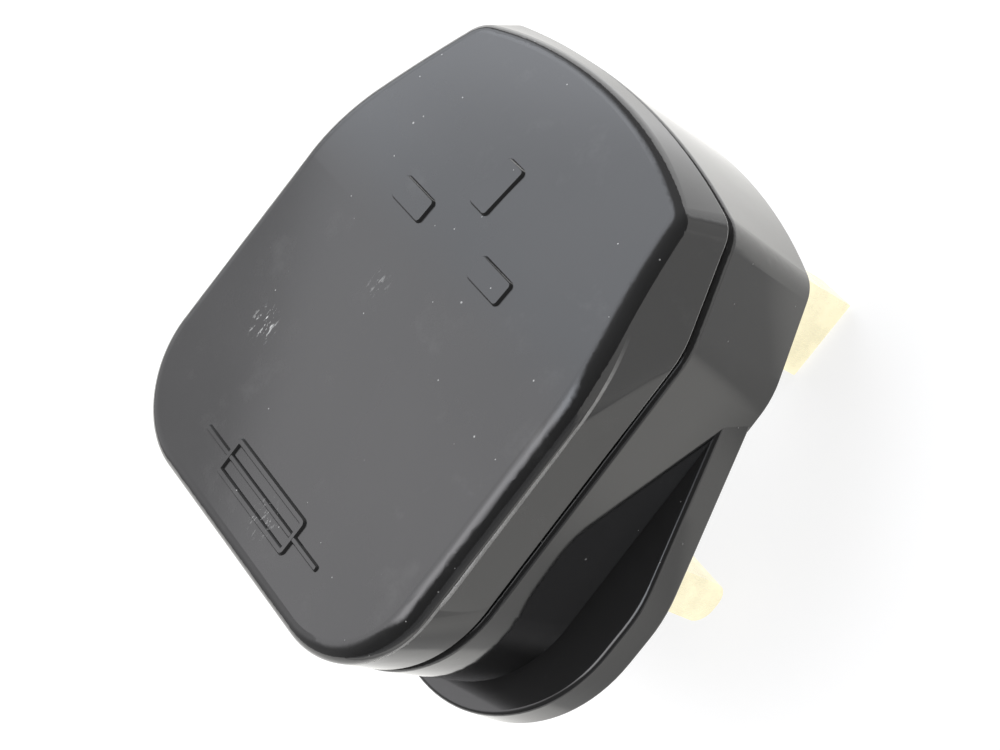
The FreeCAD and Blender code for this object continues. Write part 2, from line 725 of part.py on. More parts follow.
def slotted(name, shank, head, head_tall, x, y, seat, length):
    """A slotted screw whose head sits on a face at the height seat."""
    body = fuse(name + "_body", rod(name + "_head", head, x, y, seat, head_tall),
                rod(name + "_shank", shank, x, y, seat - length, length))
    return cut(name, body, block(name + "_slot", x - size(head), x + size(head), y - n.slot_wide / 2,
                                 y + n.slot_wide / 2, seat + head_tall - n.slot_deep, seat + head_tall + 1))


clamp_seat = floor + n.head_tall
clamp_length = n.head_tall - n.wire_height
terminal_screws = twin("terminal_screws", *[
    slotted("clamp_%s" % tag, n.clamp_size, n.clamp_head_size, n.clamp_head_tall, x, y, clamp_seat, clamp_length)
    for tag, x, y in (("earth", size(0), earth_y), ("neutral", neutral_x, size(0)), ("line", terminal_x, terminal_y))
])


def clip(name, y, tab):
    """Spring clip: a U of strip with inturned lips, and a tab for its rivet."""
    inner = n.fuse_size / 2 + n.clip_clear
    outer = inner + n.clip_thick
    low = foot_top
    top = fuse_axis + n.clip_rise
    sk = outline(name + "_profile", [
        (line_x - outer, low),
        (line_x + outer, low),
        (line_x + outer, top),
        (line_x + outer - n.clip_lip - n.clip_thick, top + n.clip_lip),
        (line_x + inner - n.clip_lip - n.clip_thick, top + n.clip_lip),
        (line_x + inner, top - n.clip_thick / 2),
        (line_x + inner, low + n.clip_thick),
        (line_x - inner, low + n.clip_thick),
        (line_x - inner, top - n.clip_thick / 2),
        (line_x - inner + n.clip_lip + n.clip_thick, top + n.clip_lip),
        (line_x - outer + n.clip_lip + n.clip_thick, top + n.clip_lip),
        (line_x - outer, top),
    ], turn=FreeCAD.Rotation(FreeCAD.Vector(1, 0, 0), 90))
    bind(sk, "Placement.Base.y", y + clip_half)
    strip = prism(name + "_strip", sk, n.clip_wide)
    if tab > 0:
        tab_low, tab_high = y + clip_half - 0.5, y + clip_half + n.tab_length
    else:
        tab_low, tab_high = y - clip_half - n.tab_length, y - clip_half + 0.5
    plate = block(name + "_tab", line_x - n.rivet_head_size / 2 - n.foot_margin,
                  line_x + n.rivet_head_size / 2 + n.foot_margin, tab_low, tab_high, low, low + n.clip_thick)
    hole_y = y + tab * (clip_half + n.tab_length / 2)
    hole = rod(name + "_hole", n.rivet_size + 2 * n.thread_clear, line_x, hole_y, low - 1, n.clip_thick + 2)
    return cut(name, fuse(name + "_body", strip, plate), hole)


lower_clip = clip("lower_fuse_clip", lower_clip_y, 1)
upper_clip = clip("upper_fuse_clip", upper_clip_y, -1)


def rivet(name, y):
    seat = foot_top + n.clip_thick
    return fuse(name, rod(name + "_shank", n.rivet_size, line_x, y, floor, seat - floor),
                rod(name + "_head", n.rivet_head_size, line_x, y, seat, n.rivet_head_tall))


clip_rivets = twin("clip_rivets", rivet("lower_rivet", lower_rivet_y), rivet("upper_rivet", upper_rivet_y))

# cartridge fuse: ceramic tube, two end caps and the fuse wire
fuse_low = n.fuse_height - n.fuse_length / 2
tube_size = n.fuse_size - 2 * n.cap_wall - 2 * n.clip_clear
tube_length = n.fuse_length - 2 * n.cap_end
tube = cut("fuse_tube",
           rod("tube_outer", tube_size, line_x, fuse_low + n.cap_end, fuse_axis, tube_length, "Y"),
           rod("tube_inner", n.tube_bore, line_x, fuse_low, fuse_axis, n.fuse_length, "Y"))


def end_cap(name, y0, y1, open_from):
    return cut(name, rod(name + "_outer", n.fuse_size, line_x, y0, fuse_axis, y1 - y0, "Y"),
               rod(name + "_socket", n.fuse_size - 2 * n.cap_wall, line_x, open_from, fuse_axis,
                   n.cap_length - n.cap_end + 1, "Y"))


fuse_high = fuse_low + n.fuse_length
fuse_caps = twin("fuse_end_caps",
                 end_cap("lower_cap", fuse_low, fuse_low + n.cap_length, fuse_low + n.cap_end),
                 end_cap("upper_cap", fuse_high - n.cap_length, fuse_high, fuse_high - n.cap_length - 1))
fuse_wire = rod("fuse_wire", n.wire_size, line_x, fuse_low + n.cap_end, fuse_axis, tube_length, "Y")

# cord grip on its two posts
bar_half = n.grip_spread + n.grip_end
bar = block("grip_bar", -bar_half, bar_half, -grip_drop - n.grip_wide / 2, -grip_drop + n.grip_wide / 2,
            n.post_top, n.post_top + n.grip_thick)
bar_round = rounded("grip_bar_round", bar, [
    (lambda e: abs(e.BoundBox.ZLength - n.grip_thick.number) < 1e-3, n.grip_end / 2),
])
bite = block("grip_bite", -n.entry_size / 2, n.entry_size / 2, -grip_drop - n.rib_wall / 2,
             -grip_drop + n.rib_wall / 2, n.post_top - n.saddle_tall, n.post_top + n.grip_thick / 2)
cord_grip = cut("cord_grip", fuse("cord_grip_body", bar_round, bite), *[
    rod("grip_hole_%s" % side, n.grip_screw_size + 2 * n.screw_clear, sign * n.grip_spread, -grip_drop,
        n.post_top - 1, n.grip_thick + 2)
    for side, sign in (("left", -1), ("right", 1))
])
grip_screws = twin("cord_grip_screws", *[
    slotted("grip_screw_%s" % side, n.grip_screw_size, n.grip_head_size, n.grip_head_tall, sign * n.grip_spread,
            -grip_drop, n.post_top + n.grip_thick, n.grip_thick + n.grip_screw_length)
    for side, sign in (("left", -1), ("right", 1))
])

NODES = {
    "base": base,
    "cover": cover,
    "cover_screw": cover_screw,
    "screw_retaining_washer": washer,
    "cover_nut": nut,
    "earth_pin": earth_pin,
    "neutral_pin": neutral_pin,
    "line_pin": line_pin,
    "neutral_sleeve": neutral_sleeve,
    "line_sleeve": line_sleeve,
    "terminal_screws": terminal_screws,
    "line_terminal": line_terminal,
    "lower_fuse_clip": lower_clip,
    "upper_fuse_clip": upper_clip,
    "clip_rivets": clip_rivets,
    "fuse_tube": tube,
    "fuse_end_caps": fuse_caps,
    "fuse_wire": fuse_wire,
    "cord_grip": cord_grip,
    "cord_grip_screws": grip_screws,
}

doc.recompute()
for obj in doc.Objects:
    if "Invalid" in obj.State or "Error" in obj.State:
        raise RuntimeError("%s could not be computed: %s" % (obj.Name, obj.State))
for node, obj in NODES.items():
    obj.Label = node
    shape = obj.Shape
    if shape.isNull() or not shape.isValid():
        raise RuntimeError("%s has no valid shape" % node)

os.makedirs("parts", exist_ok=True)
for node, obj in NODES.items():
    obj.Shape.exportStep("parts/%s.step" % node)
    print("%-24s solids %d  volume %.1f" % (node, len(obj.Shape.Solids), obj.Shape.Volume))
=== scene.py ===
import math

import bpy
import bmesh
from mathutils import Matrix, Vector


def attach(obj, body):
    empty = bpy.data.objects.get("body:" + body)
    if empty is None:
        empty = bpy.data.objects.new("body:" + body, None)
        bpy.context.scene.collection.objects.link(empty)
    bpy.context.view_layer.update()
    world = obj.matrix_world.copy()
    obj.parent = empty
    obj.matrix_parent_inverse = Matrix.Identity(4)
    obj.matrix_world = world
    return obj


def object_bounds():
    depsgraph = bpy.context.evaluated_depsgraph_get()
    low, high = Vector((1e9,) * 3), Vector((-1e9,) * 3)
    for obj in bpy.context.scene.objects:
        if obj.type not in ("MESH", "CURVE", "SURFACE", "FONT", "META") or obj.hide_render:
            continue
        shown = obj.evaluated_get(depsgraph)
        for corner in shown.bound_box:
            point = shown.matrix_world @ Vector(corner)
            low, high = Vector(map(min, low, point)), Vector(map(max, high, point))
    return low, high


MM = 0.001
FADE_OUT = (1.0, 0.0)

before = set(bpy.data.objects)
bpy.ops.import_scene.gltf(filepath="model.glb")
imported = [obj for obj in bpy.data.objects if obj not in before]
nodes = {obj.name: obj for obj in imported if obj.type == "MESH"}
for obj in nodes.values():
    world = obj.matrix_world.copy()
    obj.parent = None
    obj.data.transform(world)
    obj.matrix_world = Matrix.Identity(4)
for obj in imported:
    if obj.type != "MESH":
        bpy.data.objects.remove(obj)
cad_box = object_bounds()
scene = bpy.context.scene
scene.view_settings.view_transform = "Standard"


# camera, at the photograph's view
CAMERA_AT = (0.143957, 0.049928, 0.165954)
CAMERA_AXES = (
    (0.512713, -0.551898, 0.657673),
    (0.605017, 0.775756, 0.179326),
    (-0.609163, 0.30596, 0.731648),
)
CAMERA_SENSOR = 36.0
CAMERA_LENS = 96.657
CAMERA_SHIFT = (-0.0373, -0.0423)
CAMERA_CLIP = (0.01, 20.0)


def add_camera():
    data = bpy.data.cameras.new("photo_camera")
    data.sensor_fit = "HORIZONTAL"
    data.sensor_width = CAMERA_SENSOR
    data.lens = CAMERA_LENS
    data.shift_x, data.shift_y = CAMERA_SHIFT
    data.clip_start, data.clip_end = CAMERA_CLIP
    camera = bpy.data.objects.new("photo_camera", data)
    camera.matrix_world = Matrix.Translation(Vector(CAMERA_AT)) @ Matrix(CAMERA_AXES).to_4x4()
    scene.collection.objects.link(camera)
    scene.camera = camera


# sockets of a Mix node that mixes colours
MIX_FACTOR, MIX_A, MIX_B = 0, 6, 7
MIX_RESULT = 2


class Nodes:
    """A small helper to write node trees."""

    def __init__(self, tree):
        self.tree = tree
        self.tree.nodes.clear()

    def new(self, kind):
        return self.tree.nodes.new(kind)

    def feed(self, value, socket):
        """Link a socket to another one, or set its constant."""
        if isinstance(value, bpy.types.NodeSocket):
            self.tree.links.new(value, socket)
        else:
            socket.default_value = value

    def math(self, op, a, b=0.0, clamp=False):
        node = self.new("ShaderNodeMath")
        node.operation = op
        node.use_clamp = clamp
        self.feed(a, node.inputs[0])
        self.feed(b, node.inputs[1])
        return node.outputs[0]

    def product(self, value, *others):
        for other in others:
            value = self.math("MULTIPLY", value, other)
        return value

    def largest(self, value, *others):
        for other in others:
            value = self.math("MAXIMUM", value, other)
        return value

    def off_centre(self, value, centre):
        return self.math("ABSOLUTE", self.math("SUBTRACT", value, centre))

    def distance(self, a, b):
        node = self.new("ShaderNodeVectorMath")
        node.operation = "DISTANCE"
        self.feed(a, node.inputs[0])
        self.feed(b, node.inputs[1])
        return node.outputs["Value"]

    def axes(self, coords):
        node = self.new("ShaderNodeSeparateXYZ")
        self.feed(coords, node.inputs[0])
        return node.outputs["X"], node.outputs["Y"], node.outputs["Z"]

    def ramp(self, value, span, levels=(0.0, 1.0)):
        """A smooth step from the first level to the second, over a span of the value."""
        node = self.new("ShaderNodeMapRange")
        node.interpolation_type = "SMOOTHSTEP"
        self.feed(value, node.inputs["Value"])
        for name, number in zip(("From Min", "From Max", "To Min", "To Max"), (*span, *levels)):
            node.inputs[name].default_value = number
        return node.outputs["Result"]

    def noise(self, coords, scale, detail, rough):
        node = self.new("ShaderNodeTexNoise")
        self.feed(coords, node.inputs["Vector"])
        node.inputs["Scale"].default_value = scale
        node.inputs["Detail"].default_value = detail
        node.inputs["Roughness"].default_value = rough
        return node.outputs["Fac"]

    def stretch(self, coords, scale, turn=(0, 0, 0)):
        node = self.new("ShaderNodeMapping")
        self.feed(coords, node.inputs["Vector"])
        node.inputs["Rotation"].default_value = turn
        node.inputs["Scale"].default_value = scale
        return node.outputs["Vector"]

    def mix_color(self, fac, a, b):
        node = self.new("ShaderNodeMix")
        node.data_type = "RGBA"
        self.feed(fac, node.inputs[MIX_FACTOR])
        self.feed(a, node.inputs[MIX_A])
        self.feed(b, node.inputs[MIX_B])
        return node.outputs[MIX_RESULT]

    def bump(self, height, strength, distance_mm, normal=None):
        node = self.new("ShaderNodeBump")
        node.inputs["Strength"].default_value = strength
        node.inputs["Distance"].default_value = distance_mm * MM
        self.feed(height, node.inputs["Height"])
        if normal is not None:
            self.feed(normal, node.inputs["Normal"])
        return node.outputs["Normal"]

    def add_shader(self, a, b):
        node = self.new("ShaderNodeAddShader")
        self.feed(a, node.inputs[0])
        self.feed(b, node.inputs[1])
        return node.outputs[0]


def rgba(color, share=1.0):
    return (*[c * share for c in color], 1.0)


def shares(number, pair):
    return (number * pair[0], number * pair[1])


def mm_span(span, at=0.0):
    """A span in millimetres from a place, as metres."""
    return ((at + span[0]) * MM, (at + span[1]) * MM)


def angle_span(span):
    """A span in degrees, as radians."""
    return (math.radians(span[0]), math.radians(span[1]))


def start_material(name):
    mat = bpy.data.materials.new(name)
    mat.use_nodes = True
    t = Nodes(mat.node_tree)
    out = t.new("ShaderNodeOutputMaterial")
    bsdf = t.new("ShaderNodeBsdfPrincipled")
    t.feed(bsdf.outputs["BSDF"], out.inputs["Surface"])
    coords = t.new("ShaderNodeTexCoord").outputs["Object"]
    return mat, t, bsdf, coords


# moulded plastic: noises as scale, detail and roughness, bumps as strength and millimetres
PLASTIC_CLOUD = (60.0, 4.0, 0.55)
PLASTIC_GRAIN = (5200.0, 2.0, 0.6)
PLASTIC_RIPPLE = (420.0, 3.0, 0.6)
PLASTIC_SHADES = (0.9, 1.12)
PLASTIC_SMEAR = (0.85, 1.15)
PLASTIC_GRAIN_ROUGH = (-0.012, 0.012)
PLASTIC_IOR = 1.58
PLASTIC_GRAIN_BUMP = (0.09, 0.006)
PLASTIC_RIPPLE_BUMP = (0.02, 0.015)
CLOUD_SPAN = (0.3, 0.7)
SMEAR_SPAN = (0.25, 0.75)
GRAIN_SPAN = (0.2, 0.8)

# dust: specks as cells per metre and radius in millimetres, and a thin film
FINE_SPECKS = (520.0, 0.065)
LARGE_SPECKS = (210.0, 0.11)
SPECK_RIM = (0.7, 1.2)
SPECK_PALE = 0.6
FILM = (190.0, 5.0, 0.65)
FILM_SPAN = (0.56, 0.8)
FILM_PALE = 0.03
DUST_COLOR = (0.62, 0.62, 0.60)
DUST_ROUGH = 0.55

# scuffs rubbed into the face: place and width in millimetres, turn in radians and paleness
SCUFFS = (
    ((-11.3, -2.1, 20.1), 2.0, 0.6, 1.0),
    ((-3.6, 7.4, 20.1), 1.6, 1.0, 0.25),
    ((2.1, -12.3, 20.1), 2.2, 0.9, 0.4),
)
SCUFF_CORE = 0.2
SCUFF_STREAKS = (3600.0, 3.0, 0.7)
SCUFF_STRETCH = (1.0, 0.28, 1.0)
SCUFF_SPAN = (0.57, 0.65)

# painted highlight lines along the grip ledge's edge on the cover's sides and along the cover's lower
# edge, in millimetres
LEDGE_Z = 18.4
LEDGE_LOW = (-0.34, -0.22)
LEDGE_HIGH = (-0.02, 0.04)
LEDGE_FADE_Y = (13.0, 19.0)
RIM_Z = 13.7
RIM_LOW = (-0.06, -0.02)
RIM_HIGH = (0.08, 0.17)
RIM_MIDDLE_Y = 1.0
RIM_ENDS = (10.0, 15.0)
HIGHLIGHT_BREAKS = (900.0, 3.0, 0.6)
HIGHLIGHT_BREAKS_SPAN = (0.3, 0.65)
HIGHLIGHT_BREAKS_LEVELS = (0.75, 1.0)
HIGHLIGHT_LINE_COLOR = (0.52, 0.51, 0.49)
HIGHLIGHT_LINE_ROUGH = 0.35


def specks(t, coords, cells, radius_mm):
    """Round specks of a given radius, scattered one to a cell."""
    node = t.new("ShaderNodeTexVoronoi")
    node.feature = "F1"
    t.feed(coords, node.inputs["Vector"])
    node.inputs["Scale"].default_value = cells
    return t.ramp(node.outputs["Distance"], shares(radius_mm * MM * cells, SPECK_RIM), FADE_OUT)


def dust_mask(t, coords):
    """Specks, scuffs and a thin film of dust."""
    spotted = t.largest(specks(t, coords, *FINE_SPECKS), specks(t, coords, *LARGE_SPECKS))
    dust = t.product(spotted, SPECK_PALE)
    for place, width, turn, pale in SCUFFS:
        away = t.distance(coords, tuple(v * MM for v in place))
        patch = t.ramp(away, mm_span((width * SCUFF_CORE, width)), FADE_OUT)
        streaks = t.noise(t.stretch(coords, SCUFF_STRETCH, (0, 0, turn)), *SCUFF_STREAKS)
        dust = t.largest(dust, t.product(patch, t.ramp(streaks, SCUFF_SPAN), pale))
    film = t.product(t.ramp(t.noise(coords, *FILM), FILM_SPAN), FILM_PALE)
    return t.largest(dust, film)


def painted_highlight_mask(t, coords):
    """Painted highlight lines along the ledge's edge and the cover's lower edge, broken up by noise.
    """
    _, y, z = t.axes(coords)
    ledge = t.product(
        t.ramp(z, mm_span(LEDGE_LOW, LEDGE_Z)),
        t.ramp(z, mm_span(LEDGE_HIGH, LEDGE_Z), FADE_OUT),
        t.ramp(y, mm_span(LEDGE_FADE_Y), FADE_OUT),
    )
    rim = t.product(
        t.ramp(z, mm_span(RIM_HIGH, RIM_Z), FADE_OUT),
        t.ramp(z, mm_span(RIM_LOW, RIM_Z)),
        t.ramp(t.off_centre(y, RIM_MIDDLE_Y * MM), mm_span(RIM_ENDS)),
    )
    breaks = t.ramp(t.noise(coords, *HIGHLIGHT_BREAKS), HIGHLIGHT_BREAKS_SPAN, HIGHLIGHT_BREAKS_LEVELS)
    return t.product(t.largest(ledge, rim), breaks)


def plastic(name, color, rough, dust_and_highlights):
    """Moulded plastic, with dust and painted highlight lines where asked."""
    mat, t, bsdf, coords = start_material(name)
    cloud = t.noise(coords, *PLASTIC_CLOUD)
    grain = t.noise(coords, *PLASTIC_GRAIN)
    ripple = t.noise(coords, *PLASTIC_RIPPLE)
    dark, pale = PLASTIC_SHADES
    shade = t.mix_color(t.ramp(cloud, CLOUD_SPAN), rgba(color, dark), rgba(color, pale))
    smear = t.ramp(cloud, SMEAR_SPAN, shares(rough, PLASTIC_SMEAR))
    roughness = t.math("ADD", smear, t.ramp(grain, GRAIN_SPAN, PLASTIC_GRAIN_ROUGH))
    if dust_and_highlights:
        marks = (
            (dust_mask(t, coords), DUST_COLOR, DUST_ROUGH),
            # painted highlight lines along the ledge's edge and the cover's lower edge
            (painted_highlight_mask(t, coords), HIGHLIGHT_LINE_COLOR, HIGHLIGHT_LINE_ROUGH),
        )
        for mask, mark_color, mark_rough in marks:
            shade = t.mix_color(mask, shade, rgba(mark_color))
            roughness = t.math("ADD", roughness, t.product(mask, mark_rough), clamp=True)
    t.feed(shade, bsdf.inputs["Base Color"])
    t.feed(roughness, bsdf.inputs["Roughness"])
    bsdf.inputs["IOR"].default_value = PLASTIC_IOR
    normal = t.bump(grain, *PLASTIC_GRAIN_BUMP)
    t.feed(t.bump(ripple, *PLASTIC_RIPPLE_BUMP, normal), bsdf.inputs["Normal"])
    return mat


# metal, with lines drawn along the axis that their noise is stretched on
METAL_LINES = (5200.0, 3.0, 0.6)
ALONG_Y = (1.0, 0.06, 1.0)
ALONG_Z = (1.0, 1.0, 0.06)
SHORT_ALONG_Z = (1.0, 1.0, 0.1)
METAL_CLOUD = (240.0, 5.0, 0.6)
METAL_CLOUD_SPAN = (0.35, 0.7)
METAL_TARNISH = 0.12
METAL_SMEAR = (0.85, 1.2)
METAL_LINE_ROUGH = (-0.05, 0.05)
METAL_BUMP = (0.12, 0.01)


def metal(name, color, rough, lines):
    """Drawn or plated metal, a little tarnished in clouds."""
    mat, t, bsdf, coords = start_material(name)
    drawn = t.noise(t.stretch(coords, lines), *METAL_LINES)
    cloud = t.noise(coords, *METAL_CLOUD)
    tarnished = rgba(color, 1.0 - METAL_TARNISH)
    shade = t.mix_color(t.ramp(cloud, METAL_CLOUD_SPAN), rgba(color), tarnished)
    t.feed(shade, bsdf.inputs["Base Color"])
    bsdf.inputs["Metallic"].default_value = 1.0
    smear = t.ramp(cloud, CLOUD_SPAN, shares(rough, METAL_SMEAR))
    roughness = t.math("ADD", smear, t.ramp(drawn, GRAIN_SPAN, METAL_LINE_ROUGH))
    t.feed(roughness, bsdf.inputs["Roughness"])
    t.feed(t.bump(drawn, *METAL_BUMP), bsdf.inputs["Normal"])
    return mat


# ceramic and fibre
MINERAL_GRAIN = (2600.0, 4.0, 0.6)
MINERAL_CLOUD = (300.0, 3.0, 0.5)
MINERAL_DARK = 0.9
MINERAL_SMEAR = (0.9, 1.1)
MINERAL_BUMP = (0.2, 0.02)


def mineral(name, color, rough):
    """A dull, fine-grained solid."""
    mat, t, bsdf, coords = start_material(name)
    grain = t.noise(coords, *MINERAL_GRAIN)
    cloud = t.noise(coords, *MINERAL_CLOUD)
    shade = t.mix_color(t.ramp(cloud, CLOUD_SPAN), rgba(color), rgba(color, MINERAL_DARK))
    t.feed(shade, bsdf.inputs["Base Color"])
    t.feed(t.ramp(grain, GRAIN_SPAN, shares(rough, MINERAL_SMEAR)), bsdf.inputs["Roughness"])
    t.feed(t.bump(grain, *MINERAL_BUMP), bsdf.inputs["Normal"])
    return mat


HOUSING = plastic("black_moulding", (0.0222, 0.0219, 0.0218), 0.075, True)
SLEEVE = plastic("sleeve_moulding", (0.017, 0.017, 0.0175), 0.28, False)
BRASS = metal("drawn_brass", (0.98, 0.92, 0.68), 0.24, ALONG_Z)
STRIP = metal("spring_brass", (0.87, 0.73, 0.45), 0.3, ALONG_Y)
STEEL = metal("plated_steel", (0.66, 0.66, 0.64), 0.3, SHORT_ALONG_Z)
CAP = metal("plated_cap", (0.78, 0.77, 0.74), 0.2, ALONG_Y)
CERAMIC = mineral("fuse_ceramic", (0.80, 0.76, 0.66), 0.55)
FIBRE = mineral("pressed_fibre", (0.30, 0.27, 0.22), 0.8)

DRESS = {
    "base": HOUSING,
    "cover": HOUSING,
    "cover_screw": STEEL,
    "screw_retaining_washer": FIBRE,
    "cover_nut": STEEL,
    "earth_pin": BRASS,
    "neutral_pin": BRASS,
    "line_pin": BRASS,
    "neutral_sleeve": SLEEVE,
    "line_sleeve": SLEEVE,
    "terminal_screws": STEEL,
    "line_terminal": BRASS,
    "lower_fuse_clip": STRIP,
    "upper_fuse_clip": STRIP,
    "clip_rivets": BRASS,
    "fuse_tube": CERAMIC,
    "fuse_end_caps": CAP,
    "fuse_wire": STEEL,
    "cord_grip": FIBRE,
    "cord_grip_screws": STEEL,
}


def dress_nodes():
    for node, material in DRESS.items():
        obj = nodes[node]
        if not obj.material_slots:
            obj.data.materials.append(material)
        for slot in obj.material_slots:
            slot.material = material


# raised signs on the face, in millimetres: a plain fuse sign, and a plain picture of the three slots
FACE_Z = 20.1
CROWN_Y = 10.5
CROWN_RADIUS = 63.92
SIGN_SUNK = 0.08
SIGN_BEVEL = 0.10
SIGN_SHARP_ANGLE = 35.0
CORNER_STEPS = 6
LEAST_BAR_CORNER = 0.02
LEAST_FRAME_CORNER = 0.05

# the frame and bars of each sign, as centre, width and height
FUSE_FRAME = (0.4, -11.3, 11.6, 3.5)
FUSE_FRAME_CORNER = 0.5
FUSE_FRAME_LINE = 0.55
FUSE_FRAME_RISE = 0.24
FUSE_BARS = (
    (0.4, -11.3, 10.8, 0.5),
    (-7.2, -11.3, 4.0, 0.5),
    (8.0, -11.3, 4.0, 0.5),
)
FUSE_BAR_CORNER = 0.2
FUSE_BAR_RISE = 0.22
SLOT_BARS = (
    (-0.3, 19.6, 2.4, 4.6),
    (-6.3, 14.2, 4.4, 2.2),
    (5.7, 14.2, 4.4, 2.2),
)
SLOT_BAR_CORNER = 0.4
SLOT_BAR_RISE = 0.26


def face_z(y):
    """Height of the cover's face, which bows down towards the earth end."""
    run = max(0.0, y - CROWN_Y)
    return FACE_Z - CROWN_RADIUS + math.sqrt(CROWN_RADIUS ** 2 - run ** 2)


def rounded_loop(cx, cy, wide, tall, radius):
    """Points round a rectangle with rounded corners."""
    points = []
    for k, (sx, sy) in enumerate(((1, 1), (-1, 1), (-1, -1), (1, -1))):
        ox = cx + sx * (wide / 2 - radius)
        oy = cy + sy * (tall / 2 - radius)
        for i in range(CORNER_STEPS + 1):
            a = math.radians(90 * k + 90 * i / CORNER_STEPS)
            points.append((ox + radius * math.cos(a), oy + radius * math.sin(a)))
    return points


def ring(bm, points, rise):
    """Points on the face, lifted off it by the rise."""
    return [bm.verts.new((x * MM, y * MM, (face_z(y) + rise) * MM)) for x, y in points]


def skin(bm, rings):
    """Faces between each ring and the next."""
    for a, b in zip(rings, rings[1:]):
        for i in range(len(a)):
            j = (i + 1) % len(a)
            bm.faces.new((a[i], a[j], b[j], b[i]))


def raised_bar(bm, cx, cy, wide, tall, radius, rise):
    """A low bar that stands on the face, with a softened upper edge."""
    inset = 2 * SIGN_BEVEL
    top_corner = max(LEAST_BAR_CORNER, radius - SIGN_BEVEL)
    foot = rounded_loop(cx, cy, wide + inset, tall + inset, radius + SIGN_BEVEL)
    edge = rounded_loop(cx, cy, wide, tall, radius)
    top = rounded_loop(cx, cy, wide - inset, tall - inset, top_corner)
    rings = [ring(bm, foot, -SIGN_SUNK), ring(bm, edge, rise - SIGN_BEVEL), ring(bm, top, rise)]
    skin(bm, rings)
    bm.faces.new(rings[-1])


def raised_frame(bm, cx, cy, wide, tall, radius, line, rise):
    """A low frame of a given line width that stands on the face."""
    loops = (
        (SIGN_BEVEL, -SIGN_SUNK),
        (0.0, rise - SIGN_BEVEL),
        (-SIGN_BEVEL, rise),
        (SIGN_BEVEL - line, rise),
        (-line, rise - SIGN_BEVEL),
        (-SIGN_BEVEL - line, -SIGN_SUNK),
    )
    rings = []
    for grow, height in loops:
        corner = max(LEAST_FRAME_CORNER, radius + grow)
        points = rounded_loop(cx, cy, wide + 2 * grow, tall + 2 * grow, corner)
        rings.append(ring(bm, points, height))
    skin(bm, rings)


def finish_sign(name, bm):
    bmesh.ops.recalc_face_normals(bm, faces=bm.faces)
    mesh = bpy.data.meshes.new(name)
    bm.to_mesh(mesh)
    bm.free()
    mesh.materials.append(HOUSING)
    for face in mesh.polygons:
        face.use_smooth = True
    mesh.set_sharp_from_angle(angle=math.radians(SIGN_SHARP_ANGLE))
    piece = bpy.data.objects.new(name, mesh)
    scene.collection.objects.link(piece)
    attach(piece, "root")


def add_fuse_sign():
    bm = bmesh.new()
    raised_frame(bm, *FUSE_FRAME, FUSE_FRAME_CORNER, FUSE_FRAME_LINE, FUSE_FRAME_RISE)
    for bar in FUSE_BARS:
        raised_bar(bm, *bar, FUSE_BAR_CORNER, FUSE_BAR_RISE)
    finish_sign("fuse_sign", bm)


def add_slots_sign():
    bm = bmesh.new()
    for bar in SLOT_BARS:
        raised_bar(bm, *bar, SLOT_BAR_CORNER, SLOT_BAR_RISE)
    finish_sign("slots_sign", bm)


# pale floor under the pins, in metres, and its colours
FLOOR_HALF = 3.0
FLOOR_GAP = 0.0002
PAPER_COLOR = (0.32, 0.32, 0.32)
# paper painted paler beyond the earth end, a painted pool of light that brightens the end walls'
# reflections
LIT_PATCH_PAPER_COLOR = (0.86, 0.86, 0.86)
SEEN_COLOR = (1.0, 1.0, 1.0)
SEEN_LEVEL = 0.8
# warm tint of the floor's painted reflection
PAINTED_REFLECTION_COLOR = (1.0, 0.985, 0.94)

# the floor's painted brightness in the plug's reflections, lower close beside the plug as a painted
# shadow and farther out as painted shade, as spans in metres and the levels at their ends
BEHIND_Y = (0.046, 0.064)
BEHIND_X = (0.02, 0.06)
BEHIND_LEVEL = 0.85
OUTWARD_FROM_Y = 0.015
OUTWARD = 0.8
NEAR_X = (0.036, 0.052)
NEAR_LEVELS = (0.52, 1.0)
BEYOND_X = (0.0555, 0.067)
BEYOND_LEVELS = (1.0, 0.24)
AWAY_X = (0.09, 0.16)
AWAY_LEVELS = (1.0, 0.3)
BAND_START_X = (0.022, 0.035)
BAND_END_X = (0.0395, 0.043)
BAND_Y = (-0.022, 0.004)
POOL_Y = (-0.008, 0.014)
POOL_X = (0.05, 0.07)
POOL_LEVELS = (0.0, 0.75)
FAR_SIDE_X = (0.023, 0.031)


def painted_reflection_level(t, x, y, behind):
    """How bright each place of the floor is painted in the plug's reflections, darker close beside
    the plug as a painted shadow.
    """
    # on the line side, places along X move outward with Y
    past = t.largest(t.math("SUBTRACT", y, OUTWARD_FROM_Y), 0.0)
    reach = t.math("SUBTRACT", x, t.product(past, OUTWARD))
    band = t.product(
        t.ramp(reach, BAND_START_X),
        t.ramp(reach, BAND_END_X, FADE_OUT),
        t.ramp(y, BAND_Y),
    )
    line_side = t.product(
        t.largest(t.ramp(reach, NEAR_X, NEAR_LEVELS), band),
        t.ramp(reach, BEYOND_X, BEYOND_LEVELS),
        t.ramp(reach, AWAY_X, AWAY_LEVELS),
    )
    pool = t.product(t.ramp(y, POOL_Y), t.ramp(x, POOL_X, POOL_LEVELS))
    far_side = t.ramp(x, FAR_SIDE_X, FADE_OUT)
    return t.largest(line_side, pool, t.product(behind, BEHIND_LEVEL), far_side)


